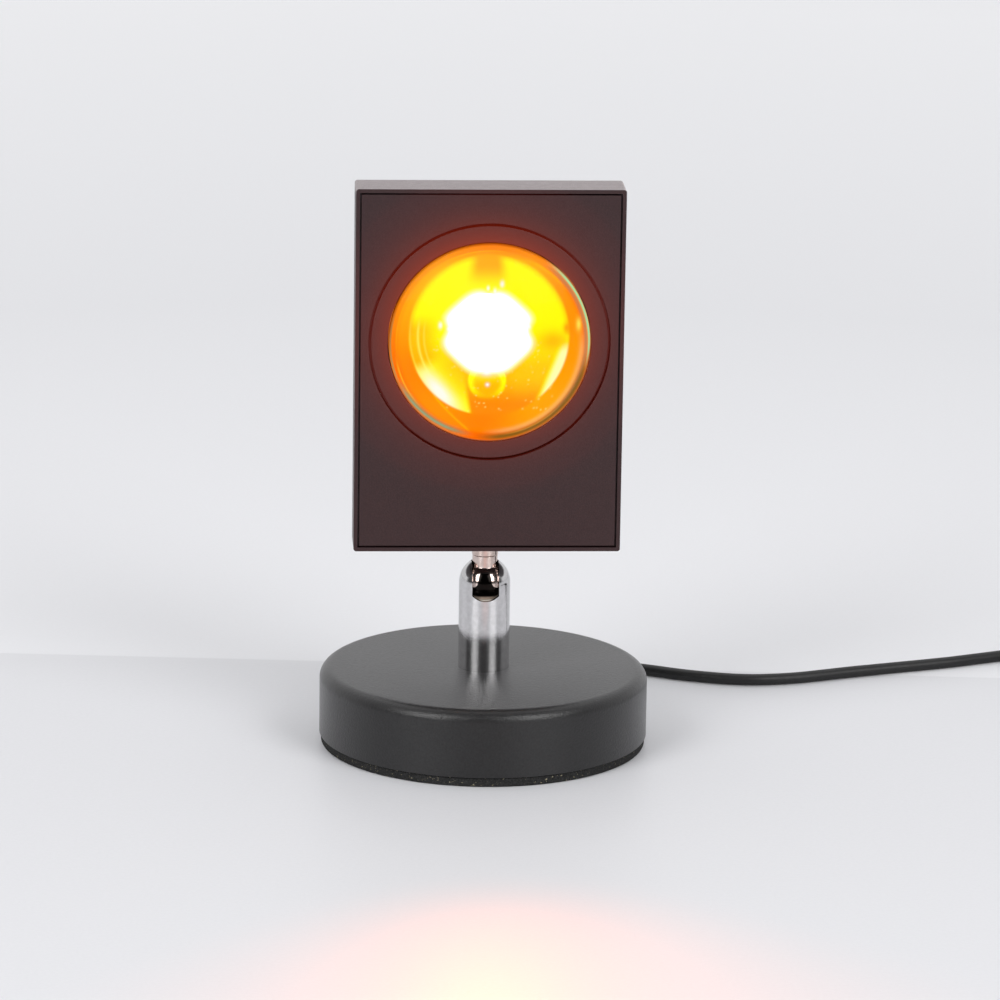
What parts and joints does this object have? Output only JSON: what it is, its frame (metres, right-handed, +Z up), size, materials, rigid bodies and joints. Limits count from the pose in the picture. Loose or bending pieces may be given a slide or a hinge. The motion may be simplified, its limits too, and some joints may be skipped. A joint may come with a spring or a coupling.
{
  "type": "sunset projection lamp",
  "caption": "Table lamp with a rectangular head and a domed colour lens, tilting on a slotted ball swivel over a round weighted base, with a coiled plug-in cord and in-line switch.",
  "frame": {"origin": "middle of the foot pad's underside, on the floor", "axes": "+Z up along the stem, -Y the way the head faces, +X to the right as seen from the front, where the cord lies"},
  "size_m": [0.2993, 0.1589, 0.1644],
  "materials": {
    "base_paint": "satin fine-textured powder coat",
    "weight_iron": "rough cast",
    "pad_foam": "matt foam",
    "zinc_steel": "zinc plated",
    "cord_rubber": "satin",
    "barrel_chrome": "polished",
    "plug_brass": "turned",
    "seat_plastic": "moulded",
    "neck_nickel": "nickel plated, satin",
    "case_plastic": "satin, fine grain",
    "lens_glass": "polished, orange tinted",
    "gasket_rubber": "matt",
    "reflector_silver": "bright",
    "led_phosphor": "phosphor coat",
    "board_white": "white solder mask",
    "cup_aluminium": "die cast",
    "board_green": "green solder mask",
    "part_plastic": "moulded",
    "wire_red": "insulation",
    "tie_fabric": "woven hook-and-loop",
    "switch_plastic": "fine texture",
    "button_plastic": "smooth",
    "shell_steel": "nickel plated sheet",
    "tongue_plastic": "moulded",
    "contact_gold": "gold flash"
  },
  "bodies": {
    "stand": {"base_cover": "base_paint", "base_weight": "weight_iron", "foot_pad": "pad_foam", "stem_nipple": "zinc_steel", "nipple_washer": "zinc_steel", "nipple_nut": "zinc_steel", "cord_bushing": "cord_rubber", "base_lead": "cord_rubber", "swivel_barrel": "barrel_chrome", "barrel_plug": "plug_brass", "seat_spring": "zinc_steel", "friction_seat": "seat_plastic", "cord_lead": "cord_rubber", "cord_coil": "cord_rubber", "cord_tie": "tie_fabric", "cord_tail": "cord_rubber", "switch_bottom": "switch_plastic", "switch_top": "switch_plastic", "switch_core": "seat_plastic", "switch_boots": "cord_rubber", "cord_end": "cord_rubber", "usb_overmould": "switch_plastic", "usb_shell": "shell_steel", "usb_tongue": "tongue_plastic", "usb_contacts": "contact_gold"},
    "neck": {"swivel_neck": "neck_nickel", "neck_collar": "neck_nickel", "neck_lead": "cord_rubber"},
    "head": {"head_frame": "case_plastic", "neck_washer": "zinc_steel", "neck_locknut": "zinc_steel", "front_panel": "case_plastic", "lens_bezel": "case_plastic", "lens": "lens_glass", "lens_gasket": "gasket_rubber", "reflector": "reflector_silver", "led_chip": "led_phosphor", "led_board": "board_white", "board_screws": "zinc_steel", "lamp_cup": "cup_aluminium", "cup_screws": "zinc_steel", "driver_board": "board_green", "driver_parts": "part_plastic", "driver_screws": "zinc_steel", "led_wires": "wire_red", "rear_cover": "case_plastic", "cover_screws": "zinc_steel"},
    "button": {"switch_button": "button_plastic"}
  },
  "joints": [
    {"name": "head_tilt", "type": "hinge", "parent": "stand", "child": "neck", "pos_m": [0, 0, 0.0475], "axis": [1, 0, 0], "range_deg": [0, 90]},
    {"name": "head_turn", "type": "hinge", "parent": "neck", "child": "head", "pos_m": [0, 0, 0.0589], "axis": [0, 0, 1], "range_deg": [-175, 175]},
    {"name": "switch_press", "type": "slide", "parent": "stand", "child": "button", "axis": [0, 0, -1], "range_m": [0, 0.0015], "stiffness_N_per_m": 400}
  ]
}
